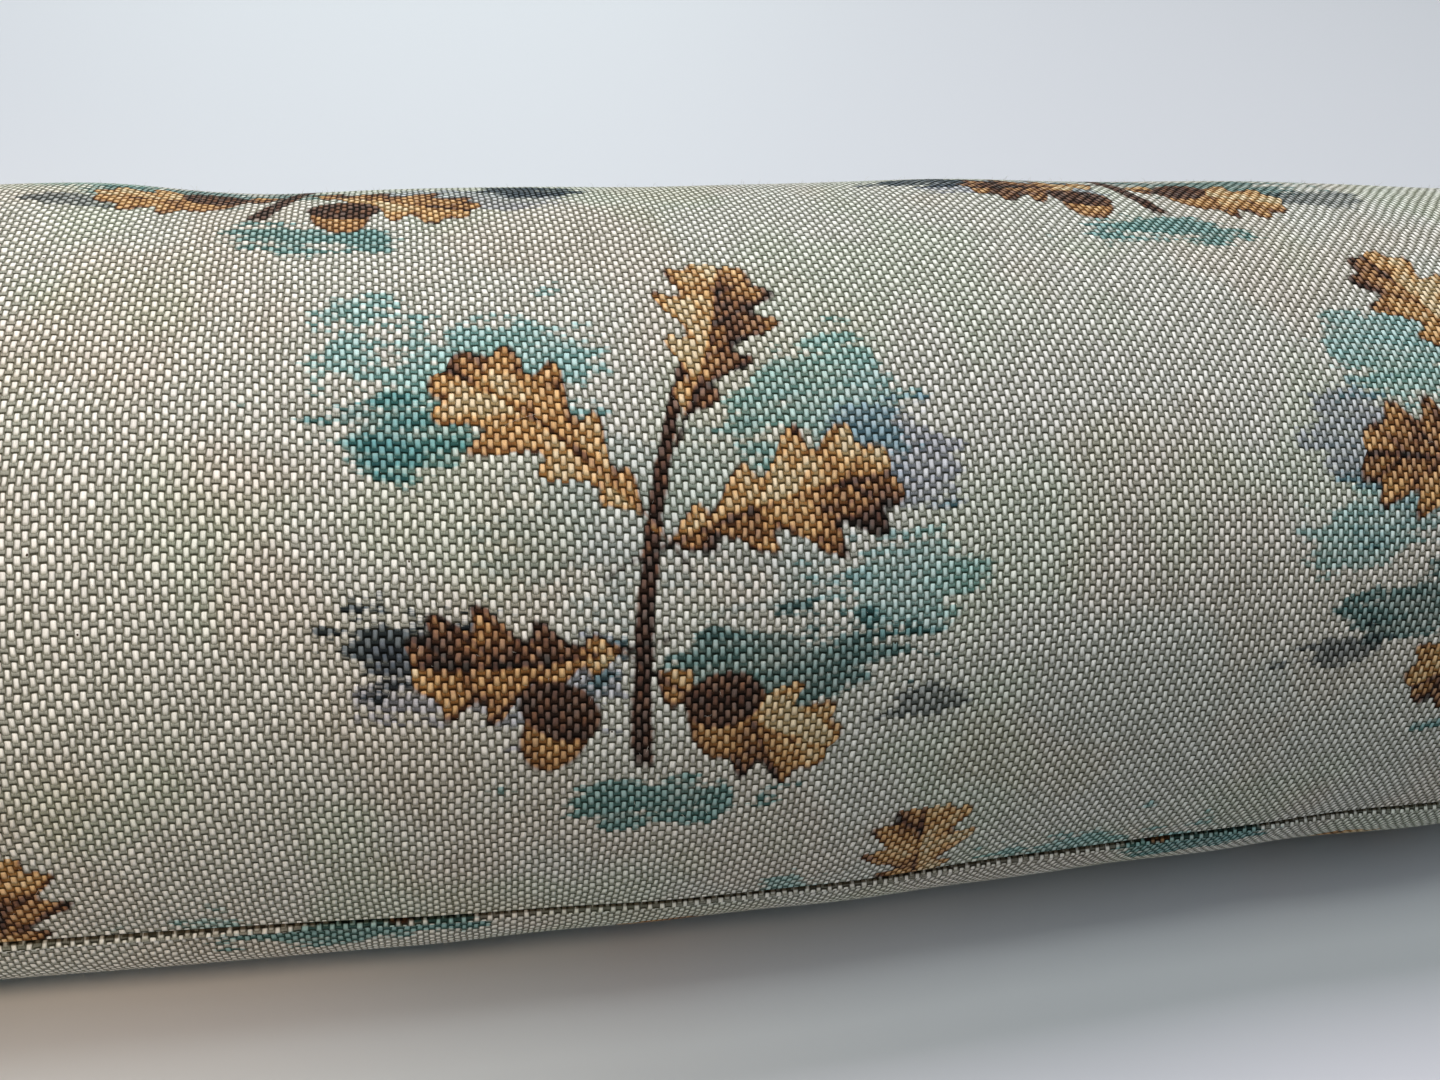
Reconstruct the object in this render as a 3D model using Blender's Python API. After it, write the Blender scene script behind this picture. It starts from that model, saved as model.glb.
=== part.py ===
"""A draught excluder: a long roll of woven cloth, sewn shut, stuffed, and lying where it was put down.

It is made from one rectangle of cloth. The rectangle is folded in two and sewn along its length, both ends
are sewn flat, and the roll is filled. Cloth hardly stretches, so two rules shape the whole roll here:
every section round it keeps the girth of the cut cloth, apart from a slight gather in the end seams, and
every thread along it keeps its own length. The second rule is what pulls the middle of each end in between
its two corners.

X runs along the roll, +Y points to its back and +Z is up. The long seam is low on the front. The origin is
on the surface that the roll lies on, under the middle of its box. Lengths are in metres, angles in radians.
"""

import math
from collections import namedtuple

import bmesh
import bpy

# The cloth as cut, and the body of the roll
CUT_LENGTH = 0.900  # from one end seam to the other, along the cloth
CUT_GIRTH = 0.337  # once round, without the seam allowances
SQUARENESS = 2.24  # of every section: 2 is an ellipse, and more is a fuller section
PRESSED = 0.0020  # how much of the underside the surface presses flat

# Where the filling lies. The widest line of the roll runs at the height below, less what is pressed flat.
# The seam's angle is measured from the widest line, and forward is how far the roll bows to its front.
Station = namedtuple("Station", "along above below forward seam_degrees")
STATIONS = (
    Station(-0.450, 0.0560, 0.0400, -0.0080, -5.0),
    Station(-0.280, 0.0552, 0.0405, -0.0060, -4.0),
    Station(-0.180, 0.0534, 0.0398, -0.0012, -3.0),
    Station(-0.120, 0.0532, 0.0400, 0.0033, -3.1),
    Station(-0.080, 0.0544, 0.0400, 0.0057, -4.3),
    Station(-0.040, 0.0559, 0.0410, 0.0089, -7.1),
    Station(0.000, 0.0576, 0.0415, 0.0109, -9.2),
    Station(0.040, 0.0591, 0.0410, 0.0110, -7.7),
    Station(0.080, 0.0592, 0.0400, 0.0102, -6.8),
    Station(0.120, 0.0588, 0.0400, 0.0101, -6.5),
    Station(0.180, 0.0574, 0.0398, 0.0065, -6.0),
    Station(0.280, 0.0556, 0.0406, -0.0020, -5.0),
    Station(0.450, 0.0560, 0.0400, -0.0090, -5.0),
)

# The ends, sewn flat
DOME = 0.094  # length of cloth over which the body closes to its end seam
END_THICKNESS = 0.0030  # of the closed seam
END_GATHER = 0.90  # share of the girth that is left where the end seam puckers
END_SETTINGS = {  # height of the end seam's middle, and how far its back corner is tipped up
    "left": {"rise": 0.037, "tip": math.radians(13)},
    "right": {"rise": 0.034, "tip": math.radians(7)},
}

# The sewn channel along the long seam
SEAM_DEPTH = 0.0014
SEAM_SPREAD = 0.0030

# How finely the solid is faceted
DOME_ROWS = 12
BODY_STEP = 0.0175
WIDE_COLUMNS = 42
SEAM_COLUMNS = (0.0, 0.0035, 0.0085)  # distances from the seam of the narrow columns
SECTION_POINTS = 360

CLOTH_COLOUR = (0.46, 0.44, 0.38, 1.0)
CLOTH_ROUGHNESS = 0.95


def clear_scene():
    for old in list(bpy.data.objects):
        bpy.data.objects.remove(old, do_unlink=True)


def superellipse(angle, half_width, above, below):
    """The point of a section at this angle from its widest line."""
    c, s = math.cos(angle), math.sin(angle)
    height = above if s >= 0 else below
    radius = (abs(c / half_width) ** SQUARENESS + abs(s / height) ** SQUARENESS) ** (-1 / SQUARENESS)
    return radius * c, radius * s


def outline(half_width, above, below, centre, tip, start):
    """The section's (y, z) points, once round from the seam, over the front and top to the back and under."""
    points = []
    for i in range(SECTION_POINTS + 1):
        angle = start + math.tau * i / SECTION_POINTS
        across, up = superellipse(angle, half_width, above, below)
        # The front is at -Y, and the end seam's back corner is tipped up.
        y = -across * math.cos(tip) - up * math.sin(tip)
        z = centre - across * math.sin(tip) + up * math.cos(tip)
        points.append((y, max(z, 0.0)))
    return points


def girth_of(points):
    return sum(math.dist(a, b) for a, b in zip(points, points[1:]))


def station_at(along):
    """The station at this distance along the cloth, read from a smooth curve through the table."""
    after = next(i for i, station in enumerate(STATIONS) if station.along >= along - 1e-9)
    after = max(after, 1)
    before, last = after - 1, len(STATIONS) - 1
    a, b = STATIONS[before], STATIONS[after]
    run_in, run_out = STATIONS[max(before - 1, 0)], STATIONS[min(after + 1, last)]
    span = b.along - a.along
    t = (along - a.along) / span
    values = []
    for p, q, r, s in zip(run_in, a, b, run_out):
        leave = (r - p) / (b.along - run_in.along) * span
        arrive = (s - q) / (run_out.along - a.along) * span
        keep, move = 2 * t**3 - 3 * t**2 + 1, 3 * t**2 - 2 * t**3
        values.append(keep * q + move * r + (t**3 - 2 * t**2 + t) * leave + (t**3 - t**2) * arrive)
    return Station(*values)


def half_width_for(girth, *shape):
    """The half width that gives a section this girth, found by halving the range."""
    low, high = 0.02, 0.12
    for _ in range(40):
        middle = (low + high) / 2
        if girth_of(outline(middle, *shape)) < girth:
            low = middle
        else:
            high = middle
    return (low + high) / 2


def evenly_along(points, distances):
    """The points at these distances along a line of points."""
    found, run, i = [], 0.0, 0
    step = math.dist(points[0], points[1])
    for distance in distances:
        while run + step < distance and i < len(points) - 2:
            run += step
            i += 1
            step = math.dist(points[i], points[i + 1])
        share = min((distance - run) / step, 1.0)
        found.append(tuple(a + share * (b - a) for a, b in zip(points[i], points[i + 1])))
    return found


def column_places():
    """Distances round the girth at which the threads along the roll lie, the seam first, alike on each side."""
    narrow = list(SEAM_COLUMNS)
    last = narrow[-1]
    wide = [last + (CUT_GIRTH - 2 * last) * i / WIDE_COLUMNS for i in range(1, WIDE_COLUMNS)]
    return narrow + wide + [CUT_GIRTH - place for place in reversed(narrow[1:])]


def row_places():
    """Distances along the cloth, from the middle of the roll, at which the sections lie."""
    half = CUT_LENGTH / 2
    end = [half - DOME * (i / DOME_ROWS) ** 1.4 for i in range(DOME_ROWS + 1)]
    steps = round(2 * (half - DOME) / BODY_STEP)
    body = [(half - DOME) * (1 - 2 * i / steps) for i in range(1, steps)]
    return sorted([-place for place in end] + body + end)


def channel(place):
    """How deep the sewn channel is at this distance round the girth from the seam."""
    away = min(place, CUT_GIRTH - place)
    return SEAM_DEPTH * math.exp(-((away / SEAM_SPREAD) ** 2))


def section(along, places):
    """The (y, z) points of the cloth at this distance along it."""
    body = station_at(along)
    end = END_SETTINGS["right" if along > 0 else "left"]
    open_share = min((CUT_LENGTH / 2 - abs(along)) / DOME, 1.0)
    fullness = math.sin(open_share * math.pi / 2)
    closing = 1 - open_share
    settled = closing * closing * (3 - 2 * closing)
    above = max(body.above * fullness, END_THICKNESS / 2)
    below = max(body.below * fullness, END_THICKNESS / 2)
    body_centre = body.below - PRESSED
    centre = body_centre + (end["rise"] - body_centre) * settled
    shape = (above, below, centre, end["tip"] * settled, math.radians(body.seam_degrees) * (1 - settled))
    gathered = 1 - (1 - END_GATHER) * settled**2
    points = outline(half_width_for(CUT_GIRTH * gathered, *shape), *shape)
    middle_y = sum(y for y, _ in points) / len(points)
    shaped = []
    for place, (y, z) in zip(places, evenly_along(points, [place * gathered for place in places])):
        across, up = middle_y - y, centre - z
        share = channel(place) * fullness / math.hypot(across, up)
        shaped.append((y + share * across - body.forward, max(z + share * up, 0.0)))
    return shaped


def roll_points():
    """Rows of (x, y, z) points. Each thread along the roll keeps its length, from the middle row outwards."""
    places, rows = column_places(), row_places()
    sections = [section(along, places) for along in rows]
    middle = min(range(len(rows)), key=lambda r: abs(rows[r]))
    xs = [[0.0] * len(places) for _ in rows]
    xs[middle] = [rows[middle]] * len(places)
    for outward in (1, -1):
        r = middle + outward
        while 0 <= r < len(rows):
            length = abs(rows[r] - rows[r - outward])
            for c in range(len(places)):
                turned = math.dist(sections[r][c], sections[r - outward][c])
                forward = math.sqrt(max(length**2 - turned**2, (0.2 * length) ** 2))
                xs[r][c] = xs[r - outward][c] + outward * forward
            r += outward
    return [
        [(x, y, z) for x, (y, z) in zip(row_xs, row_section)]
        for row_xs, row_section in zip(xs, sections)
    ]


def centred(rows):
    """The same points with the origin under the middle of their box."""
    flat = [point for row in rows for point in row]
    middle = [(min(p[i] for p in flat) + max(p[i] for p in flat)) / 2 for i in (0, 1)]
    return [[(x - middle[0], y - middle[1], z) for x, y, z in row] for row in rows]


def close_end(bm, row, outward):
    """Closes an end with a ladder of faces between the cloth over it and the cloth under it."""
    count = len(row)
    for over in range(count // 2):
        under = (count - over) % count
        corners = [row[over], row[over + 1], row[count - over - 1], row[under]]
        face = list(dict.fromkeys(corners))
        bm.faces.new(face if outward > 0 else face[::-1])


def make_roll():
    bm = bmesh.new()
    rows = [[bm.verts.new(point) for point in row] for row in centred(roll_points())]
    count = len(rows[0])
    for near, far in zip(rows, rows[1:]):
        for c in range(count):
            after = (c + 1) % count
            bm.faces.new((near[c], near[after], far[after], far[c]))
    close_end(bm, rows[0], -1)
    close_end(bm, rows[-1], 1)
    bmesh.ops.recalc_face_normals(bm, faces=bm.faces)
    mesh = bpy.data.meshes.new("draught_excluder")
    bm.to_mesh(mesh)
    bm.free()
    mesh.shade_smooth()
    return bpy.data.objects.new("draught_excluder", mesh)


def make_cloth_material():
    material = bpy.data.materials.new("woven_cloth")
    material.use_nodes = True
    shader = material.node_tree.nodes["Principled BSDF"]
    shader.inputs["Base Color"].default_value = CLOTH_COLOUR
    shader.inputs["Roughness"].default_value = CLOTH_ROUGHNESS
    shader.inputs["Metallic"].default_value = 0.0
    return material


clear_scene()
collection = bpy.data.collections.new("draught_excluder")
bpy.context.scene.collection.children.link(collection)
roll = make_roll()
roll.data.materials.append(make_cloth_material())
collection.objects.link(roll)
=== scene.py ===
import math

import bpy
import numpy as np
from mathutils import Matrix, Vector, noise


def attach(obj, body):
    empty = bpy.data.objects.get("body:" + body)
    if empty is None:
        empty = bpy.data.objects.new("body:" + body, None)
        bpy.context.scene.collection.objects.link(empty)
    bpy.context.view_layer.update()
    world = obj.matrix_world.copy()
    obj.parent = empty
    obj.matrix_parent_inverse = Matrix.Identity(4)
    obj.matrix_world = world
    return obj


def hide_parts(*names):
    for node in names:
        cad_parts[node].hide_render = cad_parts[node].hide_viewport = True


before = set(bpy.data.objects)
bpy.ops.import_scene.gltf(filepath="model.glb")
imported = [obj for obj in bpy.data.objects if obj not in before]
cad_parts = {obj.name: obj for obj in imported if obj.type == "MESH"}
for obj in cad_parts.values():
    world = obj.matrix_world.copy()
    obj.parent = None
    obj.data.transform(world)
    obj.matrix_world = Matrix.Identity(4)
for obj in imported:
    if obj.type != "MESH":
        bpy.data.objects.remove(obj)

# %% [markdown]
# # A draught excluder, stuffed and lying on a pale surface
#
# The real thing is one rectangle of printed, plain-woven cloth. It is sewn into a long tube, sewn flat at
# both ends and stuffed with fibre. The camera comes first, because it shows how fine the detail has to be.
# Then this lesson follows the maker, from the cut cloth to the fuzz, and ends with the floor and the light.
#
# Everything is in metres. X runs along the roll, +Y points to its back and +Z is up. The roll lies on z = 0.

scene = bpy.context.scene
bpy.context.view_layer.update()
ROLL = "draught_excluder"

# %% [markdown]
# ## The camera
#
# The photograph is a close-up taken by hand, so its horizon isn't level. The camera's place, lens and roll
# were worked out from how the weave shrinks and slants across the picture. It could be placed by eye, but a
# weave shows every error: yarns would come out too wide on one side.

# %% Camera
CAMERA_PLACE = Vector((-0.0461, -0.1616, 0.1799))
CAMERA_AIM = Vector((-0.0010, -0.0206, 0.0454))
CAMERA_ROLL = math.radians(8.76)
LENS_MM, SENSOR_MM = 31.96, 36.0
NEAREST_SEEN = 0.005


def add_object(name, data):
    """A new object in the scene that holds this mesh, lamp or camera."""
    added = bpy.data.objects.new(name, data)
    scene.collection.objects.link(added)
    return added


camera = add_object("camera", bpy.data.cameras.new("camera"))
camera.data.lens = LENS_MM
camera.data.sensor_width = SENSOR_MM
camera.data.clip_start = NEAREST_SEEN
looking = (CAMERA_AIM - CAMERA_PLACE).to_track_quat("-Z", "Y").to_matrix().to_4x4()
camera.matrix_world = Matrix.Translation(CAMERA_PLACE) @ looking @ Matrix.Rotation(CAMERA_ROLL, 4, "Z")
scene.camera = camera
print("camera", [round(v, 4) for v in camera.location], "lens", LENS_MM)

# %% [markdown]
# ## The shape of the stuffed roll
#
# Cloth hardly stretches. So every section round the roll keeps the girth of the cut cloth, and every thread
# along it keeps its own length. A subdivided cage would look soft too, but it would stretch the weave over
# the ends. Here the two rules are solved directly: the half width of each section is found by halving a
# range until its girth is right, and each thread then moves along by what its turning leaves over.
#
# The filling is never even, so a short table of stations says how it lies along the roll.

# %% Sizes of the cut cloth and the filling
CUT_LENGTH, CUT_GIRTH = 0.900, 0.337

# How far the filling reaches above and below its middle and forward, and how far round the seam is turned.
STATION_COLUMNS = ("along", "above", "below", "forward", "seam_degrees")
STATIONS = np.array([
    (-0.450, 0.0560, 0.0400, -0.0080, -5.0),
    (-0.280, 0.0552, 0.0405, -0.0060, -4.0),
    (-0.180, 0.0534, 0.0398, -0.0012, -3.0),
    (-0.120, 0.0532, 0.0400, 0.0033, -3.1),
    (-0.080, 0.0544, 0.0400, 0.0057, -4.3),
    (-0.040, 0.0559, 0.0410, 0.0089, -7.1),
    (0.000, 0.0576, 0.0415, 0.0109, -9.2),
    (0.040, 0.0591, 0.0410, 0.0110, -7.7),
    (0.080, 0.0592, 0.0400, 0.0102, -6.8),
    (0.120, 0.0588, 0.0400, 0.0101, -6.5),
    (0.180, 0.0574, 0.0398, 0.0065, -6.0),
    (0.280, 0.0556, 0.0406, -0.0020, -5.0),
    (0.450, 0.0560, 0.0400, -0.0090, -5.0),
])


def mm(metres):
    return f"{float(metres) * 1000:.2f} mm"


def filling(column, at):
    """A column of the stations, read at these distances from a smooth curve through the table."""
    x, y = STATIONS[:, 0], STATIONS[:, STATION_COLUMNS.index(column)]
    padded_x, padded_y = np.pad(x, 1, "edge"), np.pad(y, 1, "edge")
    slope = (padded_y[2:] - padded_y[:-2]) / (padded_x[2:] - padded_x[:-2])
    i = np.clip(np.searchsorted(x, at) - 1, 0, len(x) - 2)
    span = x[i + 1] - x[i]
    t = (at - x[i]) / span
    bend = (t**3 - 2 * t**2 + t) * slope[i] + (t**3 - t**2) * slope[i + 1]
    return (2 * t**3 - 3 * t**2 + 1) * y[i] + (3 * t**2 - 2 * t**3) * y[i + 1] + bend * span


print("filling above its middle", mm(filling("above", np.zeros(1))[0]))

# %% Outlines of the sections
SQUARENESS = 2.24  # 2 would be an oval, and more is squarer
SECTION_POINTS = 720


def outlines(half_width, above, below, centre, tip, seam_angle):
    """The (y, z) points of many sections at once, each going round from the seam, up the front first."""
    lean = np.abs(np.tan(seam_angle)) * half_width / below
    start = -np.arctan(lean ** (SQUARENESS / 2))
    angle = start[:, None] + math.tau * np.arange(SECTION_POINTS + 1) / SECTION_POINTS
    c, s = np.cos(angle), np.sin(angle)
    height = np.where(s >= 0, above[:, None], below[:, None])
    across = half_width[:, None] * np.sign(c) * np.abs(c) ** (2 / SQUARENESS)
    up = height * np.sign(s) * np.abs(s) ** (2 / SQUARENESS)
    tip = tip[:, None]
    y = -across * np.cos(tip) - up * np.sin(tip)
    z = centre[:, None] - across * np.sin(tip) + up * np.cos(tip)
    return y, np.maximum(z, 0.0)


def steps_round(y, z):
    return np.hypot(np.diff(y, axis=1), np.diff(z, axis=1))


radius, level = np.array([0.05]), np.zeros(1)
tried = steps_round(*outlines(radius, radius, radius, radius, level, level)).sum()
print("a section 100 mm wide and high has a girth of", mm(tried))

# %% How the ends close
PRESSED = 0.0020  # how deep the floor presses into the filling
DOME = 0.094  # length of cloth over which the body closes to its end seam
END_THICKNESS = 0.0030
END_GATHER = 0.90  # the share of its breadth that the cloth keeps in an end seam
END_RISE, END_TIP = (0.041, 0.043), np.radians([13, 7])  # of the left and the right end seam


def section_shapes(along):
    """The girths of the sections at these distances along the cloth, and the rest of their shapes."""
    right = (along > 0).astype(int)
    open_share = np.minimum((CUT_LENGTH / 2 - np.abs(along)) / DOME, 1.0)
    fullness = np.sin(open_share * math.pi / 2)
    settled = (1 - open_share) ** 2 * (1 + 2 * open_share)
    above = np.maximum(filling("above", along) * fullness, END_THICKNESS / 2)
    below = np.maximum(filling("below", along) * fullness, END_THICKNESS / 2)
    body_centre = filling("below", along) - PRESSED
    centre = body_centre + (np.take(END_RISE, right) - body_centre) * settled
    tip = np.take(END_TIP, right) * settled
    seam_angle = np.radians(filling("seam_degrees", along)) * (1 - settled)
    gathered = 1 - (1 - END_GATHER) * settled**2
    return CUT_GIRTH * gathered, (above, below, centre, tip, seam_angle)


print("girth in an end seam", mm(section_shapes(np.array([CUT_LENGTH / 2]))[0][0]))

# %% Sections that keep the girth
NARROWEST, WIDEST, HALVINGS = 0.02, 0.12, 26


def sections(along, places):
    """The (y, z) of the cloth at these distances along it and these places round its girth."""
    girth, shape = section_shapes(along)
    low, high = np.full_like(along, NARROWEST), np.full_like(along, WIDEST)
    for _ in range(HALVINGS):
        middle = (low + high) / 2
        short = steps_round(*outlines(middle, *shape)).sum(axis=1) < girth
        low, high = np.where(short, middle, low), np.where(short, high, middle)
    y, z = outlines((low + high) / 2, *shape)
    run = np.hstack([np.zeros((len(along), 1)), steps_round(y, z).cumsum(axis=1)])
    wanted = run[:, -1:] * places / CUT_GIRTH
    y, z = (np.array([np.interp(*row) for row in zip(wanted, run, part)]) for part in (y, z))
    return y - filling("forward", along)[:, None], z


_, seam_z = sections(np.zeros(1), np.zeros(1))
print("the middle of the seam is up by", mm(seam_z[0, 0]))

# %% Rows and columns of the cloth
ROWS, WIDE_COLUMNS = 392, 126
CROWDING = 0.12  # how much the rows close up towards the ends

# The columns crowd together at the long seam, because it has the finest detail.
SEAM_COLUMNS = 0.001 * np.array([
    0.08, 0.16, 0.24, 0.32, 0.42, 0.55, 0.7, 0.9, 1.15, 1.5, 2.0, 2.8, 4.2, 6.4,
])

last = SEAM_COLUMNS[-1]
wide = last + (CUT_GIRTH - 2 * last) * np.arange(1, WIDE_COLUMNS) / WIDE_COLUMNS
places = np.concatenate([[0.0], SEAM_COLUMNS, wide, CUT_GIRTH - SEAM_COLUMNS[::-1]])
share = np.linspace(-1, 1, ROWS)
along = CUT_LENGTH / 2 * ((1 + CROWDING) * share - CROWDING * share**3)
section_y, section_z = sections(along, places)
print("rows", ROWS, "columns", len(places))

# %% Threads along the roll
LEAST_FORWARD = 0.2  # the share of its length that a thread runs along the roll, however much it turns

middle_row = int(np.abs(along).argmin())
turned = np.hypot(np.diff(section_y, axis=0), np.diff(section_z, axis=0))
length = np.diff(along)[:, None]
forward = np.sqrt(np.maximum(length**2 - turned**2, (LEAST_FORWARD * length) ** 2))
section_x = np.vstack([np.zeros(len(places)), forward.cumsum(axis=0)])
section_x += along[middle_row] - section_x[middle_row]
print("threads reach from", mm(section_x.min()), "to", mm(section_x.max()))

# %% Threads that meet in the end seams
sewn_to = -np.arange(len(places)) % len(places)
near_end = np.clip(1 - (CUT_LENGTH / 2 - np.abs(along)) / DOME, 0, 1)
near_end = near_end**2 * (3 - 2 * near_end)

# Each thread meets the one across from it, so the two share what they differ by in length.
for end in (0, -1):
    gap = section_x[end, sewn_to] - section_x[end]
    section_x += np.outer(near_end * (along * along[end] > 0), gap / 2)
print("threads differ at the right end by up to", mm(gap.max()))

cloth_points = np.dstack([section_x, section_y, section_z])
box_middle = (cloth_points.min(axis=(0, 1)) + cloth_points.max(axis=(0, 1))) / 2
cloth_points -= (box_middle[0], box_middle[1], 0)
print("cloth grid", cloth_points.shape, "as wide as", mm(2 * cloth_points[:, :, 1].max()))

# %% [markdown]
# ## Lumps of filling and gathers at the ends
#
# Fibre filling makes soft lumps, and cloth that is gathered into an end seam puckers. They could be sculpted
# by hand, but noise gives the same unevenness at any place: wide and low over the body, and drawn out along
# the threads near the ends. Only the few hollows and swellings along the top are listed one by one.

# %% Noise over the cloth


def unit(vectors):
    """The same directions, with a length of 1."""
    return vectors / np.maximum(np.linalg.norm(vectors, axis=-1, keepdims=True), 1e-12)


def frame_of(points):
    """Unit vectors of the cloth, which closes on itself round the girth: outward, and up round the girth."""
    down_roll = np.gradient(points, axis=0)
    round_roll = unit(np.roll(points, -1, axis=1) - np.roll(points, 1, axis=1))
    return unit(np.cross(down_roll, round_roll)), round_roll


def noise_over(grid, *sizes):
    """Smooth noise from -1 to 1 at each point of a grid, with features of these sizes."""
    scaled = (grid / np.array(sizes)).reshape(-1, 3)
    return np.array([noise.noise(point) for point in scaled.tolist()]).reshape(grid.shape[:2])


from_seam = np.where(places > CUT_GIRTH / 2, places - CUT_GIRTH, places)
from_end = CUT_LENGTH / 2 - np.abs(along)
print("furthest from the seam", mm(from_seam.max()))

# %% Lumps
LUMP_HEIGHT, LUMP_SIZE = 0.00050, 0.024
LUMPS_RISE, LUMPS_START = 0.015, 0.060  # full height this far from the floor and an end

lumps = LUMP_HEIGHT * noise_over(cloth_points, LUMP_SIZE, LUMP_SIZE, LUMP_SIZE)
lumps *= np.clip(cloth_points[:, :, 2] / LUMPS_RISE, 0, 1) * np.clip(from_end / LUMPS_START, 0, 1)[:, None]
print("lumps up to", mm(lumps.max()))

# %% Puckers
PUCKER_HEIGHT, PUCKER_LENGTH, PUCKER_WIDTH = 0.0028, 0.050, 0.0105
PUCKER_REACH, PUCKER_START, PUCKERS_SEWN = 0.034, 0.016, 0.1
SEAM_STIFFENS = 0.012  # the long seam keeps the cloth this near to it smooth
NOISE_LAYER = 0.5

layer = np.full((len(along), len(places)), NOISE_LAYER)
flat_places = np.dstack([*np.meshgrid(places, along)[::-1], layer])
puckers = PUCKER_HEIGHT * noise_over(flat_places, PUCKER_LENGTH, PUCKER_WIDTH, 1.0)
fading = np.exp(-((from_end / PUCKER_REACH) ** 2))
puckers *= (fading * np.clip(from_end / PUCKER_START, PUCKERS_SEWN, 1))[:, None]
puckers *= np.clip(np.abs(from_seam) / SEAM_STIFFENS, 0, 1)[None, :]
print("puckers up to", mm(puckers.max()))

# %% Hollows and swellings listed one by one

# The middle of each on the flat cloth, how far it reaches each way, and its height.
DENTS = [
    (-0.090, 0.118, 0.013, 0.026, 0.00050),
    (-0.068, 0.122, 0.016, 0.026, -0.00105),
    (0.001, 0.125, 0.030, 0.024, -0.00050),
    (0.024, 0.125, 0.012, 0.024, 0.00040),
    (0.088, 0.124, 0.016, 0.026, 0.00070),
]

dents = np.zeros_like(lumps)
for dent_along, dent_round, reach_along, reach_round, dent_height in DENTS:
    off_along = (along - dent_along) / reach_along
    off_round = (places - dent_round) / reach_round
    dents += dent_height * np.exp(-(off_along[:, None] ** 2 + off_round**2))
normals, _ = frame_of(cloth_points)
cloth_points = cloth_points + normals * (lumps + puckers + dents)[:, :, None]
print("hollows down to", mm(dents.min()))

# %% [markdown]
# ## The seam's channel and fold
#
# The long seam was sewn inside out, so from outside it is a narrow dark channel. The upper cloth ends there
# in a crisp lip, which hangs over the channel a little. The lower cloth comes out of it over the fold of its
# seam allowance, which lifts one row of yarns into a small ridge. A bump map would look right from the front
# only, so the channel, the lip and the ridge are in the mesh, on columns of vertices close together.

# %% Seam profile
CHANNEL_DEPTH, CHANNEL_WIDTH, CHANNEL_POWER = 0.0010, 0.00024, 2.6
DRAWN_IN, DRAWN_REACH = 0.0006, 0.0042
RIDGE_LIFT, RIDGE_PLACE, RIDGE_WIDTH = 0.00070, -0.00078, 0.00048
LIP_LIFT, LIP_PLACE, LIP_WIDTH = 0.00012, 0.00060, 0.00045


def hump(offset, width, power=2.0):
    return np.exp(-((np.abs(offset) / width) ** power))


def seam_profile(from_seam):
    """How far the cloth stands out at this signed distance from the seam, with the upper cloth positive."""
    channel = CHANNEL_DEPTH * hump(from_seam, CHANNEL_WIDTH, CHANNEL_POWER)
    drawn = DRAWN_IN * hump(from_seam, DRAWN_REACH)
    ridge = RIDGE_LIFT * hump(from_seam - RIDGE_PLACE, RIDGE_WIDTH)
    lip = LIP_LIFT * hump(from_seam - LIP_PLACE, LIP_WIDTH)
    return ridge + lip - channel - drawn


print("the seam reaches down to", mm(seam_profile(from_seam).min()))

# %% Sewing the seam
CHANNEL_LEAN = 0.00030  # how far the channel's foot runs in under the upper lip
LEAN_WIDTH = 1.3 * CHANNEL_WIDTH
SEAM_STARTS = 4  # the seam is at full depth from the first quarter of the dome

seam_strength = np.clip(from_end / DOME * SEAM_STARTS, 0, 1)[:, None]
normals, upward = frame_of(cloth_points)
lift = seam_profile(from_seam)[None, :] * seam_strength
leaning = CHANNEL_LEAN * hump(from_seam, LEAN_WIDTH)[None, :] * seam_strength
cloth_points = cloth_points + normals * lift[:, :, None] + upward * leaning[:, :, None]
cloth_points[:, :, 2] = np.maximum(cloth_points[:, :, 2], 0.0)
crown = int(cloth_points[middle_row, :, 2].argmax())
print("the crown faces", normals[middle_row, crown].round(2))

# %% [markdown]
# ## Where each point lies on the flat cloth
#
# Most of the cloth keeps its place on the cut piece. Near the seam it dives into the channel, so there its
# place is measured along the bent surface. Otherwise the yarns would stretch over the channel's sides.

# %% Places on the flat cloth
near = len(SEAM_COLUMNS)
steps = np.linalg.norm(np.roll(cloth_points, -1, axis=1) - cloth_points, axis=2)
cloth_round = np.tile(places, (len(along), 1))
above_seam = steps[:, :near][:, ::-1].cumsum(axis=1)[:, ::-1]
cloth_round[:, :near] = places[near] - above_seam
below_seam = steps[:, -near:].cumsum(axis=1)
cloth_round[:, -near + 1:] = places[-near] + below_seam[:, :-1]
seam_round = places[-near] + below_seam[:, -1:]  # the seam's own column, reached from below
print("cloth in the channel", mm(seam_round[middle_row, 0] - cloth_round[middle_row, 0] - CUT_GIRTH))

# %% Where the groove is dark


def seam_place(side, distance):
    """The place on the flat cloth of the column at this distance from the seam, 1 above it or -1 below."""
    column = side * (1 + int(np.abs(SEAM_COLUMNS - distance).argmin()))
    return float(cloth_round[middle_row, column]) - (0.0 if side > 0 else CUT_GIRTH)


# Each goes from the column where the groove is darkest to the one where its shade ends.
GROOVE_ABOVE = (seam_place(1, 0.00008), seam_place(1, 0.00024))
GROOVE_BELOW = (seam_place(-1, 0.00032), seam_place(-1, 0.00042))
GROOVE_TEETH = (seam_place(-1, 0.00042), seam_place(-1, 0.00080))
print("the groove is dark from", mm(GROOVE_BELOW[1]), "to", mm(GROOVE_ABOVE[1]))

# %% [markdown]
# ## One closed mesh
#
# The grid becomes quads. At each end the two layers of cloth turn in over a last narrow ring and meet
# inside, as a turned-out seam does, and a ladder of faces closes it there. The UV map holds each point's
# place on the flat cloth in metres, so the yarns and the print keep their size wherever the cloth goes.

# %% Rings that turn in at the ends
TURNED_IN = 0.0022
STILL_OPEN = 0.12  # the share of the end's thickness that is left at that ring


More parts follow.
